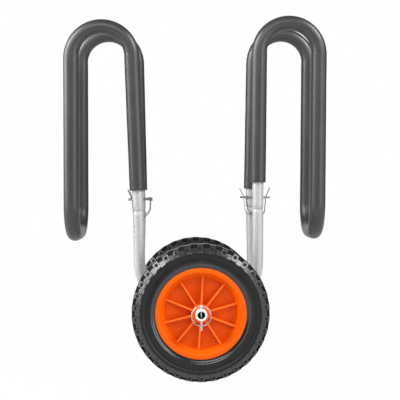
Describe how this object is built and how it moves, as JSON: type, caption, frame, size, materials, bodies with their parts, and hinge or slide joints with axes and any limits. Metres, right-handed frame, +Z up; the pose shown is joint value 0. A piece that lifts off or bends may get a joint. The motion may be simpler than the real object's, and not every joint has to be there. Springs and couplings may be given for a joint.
{
  "type": "kayak cart",
  "caption": "Wheeled cart whose foam-padded, hook-shaped loops carry a slim hull or board upright on its edge over a short axle; comes apart at wire-lock pins.",
  "frame": {"origin": "on the ground under the middle of the axle", "axes": "+X across the cart from the left loop to the right loop, +Y along the axle from the near wheel to the far wheel, +Z up"},
  "size_m": [0.586, 0.416, 0.8035],
  "materials": {
    "foam": "satin",
    "tube": "satin",
    "zinc": "satin",
    "wire": "satin",
    "rim": "satin",
    "tyre": "matte",
    "nylon": "satin"
  },
  "bodies": {
    "frame": {"axle_tube": "tube", "lower_frame_near": "tube", "lower_frame_far": "tube", "loop_tube_left": "tube", "loop_tube_right": "tube", "foam_sleeve_left": "foam", "foam_sleeve_right": "foam", "joint_pin_left_near": "wire", "joint_pin_right_near": "wire", "joint_pin_left_far": "wire", "joint_pin_right_far": "wire", "wheel_spacer_near": "nylon", "wheel_spacer_far": "nylon", "lynch_pin_near": "zinc", "lynch_pin_far": "zinc"},
    "wheel_near": {"rim_near": "rim", "hub_bush_near": "nylon", "tyre_near": "tyre"},
    "wheel_far": {"rim_far": "rim", "hub_bush_far": "nylon", "tyre_far": "tyre"},
    "bow_left_near": {"pin_bow_left_near": "wire"},
    "bow_right_near": {"pin_bow_right_near": "wire"},
    "bow_left_far": {"pin_bow_left_far": "wire"},
    "bow_right_far": {"pin_bow_right_far": "wire"},
    "ring_near": {"lynch_ring_near": "zinc"},
    "ring_far": {"lynch_ring_far": "zinc"}
  },
  "joints": [
    {"name": "wheel_near_spin", "type": "hinge", "parent": "frame", "child": "wheel_near", "pos_m": [0, -0.15, 0.15], "axis": [0, 1, 0], "continuous": true},
    {"name": "wheel_far_spin", "type": "hinge", "parent": "frame", "child": "wheel_far", "pos_m": [0, 0.15, 0.15], "axis": [0, 1, 0], "continuous": true},
    {"name": "bow_left_near_swing", "type": "hinge", "parent": "frame", "child": "bow_left_near", "pos_m": [-0.1055, -0.092, 0.398], "axis": [0, -0.9511, -0.309], "range_deg": [0, 100]},
    {"name": "bow_right_near_swing", "type": "hinge", "parent": "frame", "child": "bow_right_near", "pos_m": [0.1105, -0.092, 0.398], "axis": [0, 0.9511, 0.309], "range_deg": [0, 100]},
    {"name": "bow_left_far_swing", "type": "hinge", "parent": "frame", "child": "bow_left_far", "pos_m": [-0.1105, 0.092, 0.398], "axis": [0, -0.9511, 0.309], "range_deg": [0, 100]},
    {"name": "bow_right_far_swing", "type": "hinge", "parent": "frame", "child": "bow_right_far", "pos_m": [0.1585, 0.092, 0.398], "axis": [0, -0.9511, 0.309], "range_deg": [0, 100]},
    {"name": "ring_near_swing", "type": "hinge", "parent": "frame", "child": "ring_near", "pos_m": [0, -0.198, 0.1685], "axis": [-1, 0, 0], "range_deg": [0, 150]},
    {"name": "ring_far_swing", "type": "hinge", "parent": "frame", "child": "ring_far", "pos_m": [0, 0.198, 0.1685], "axis": [1, 0, 0], "range_deg": [0, 150]}
  ]
}
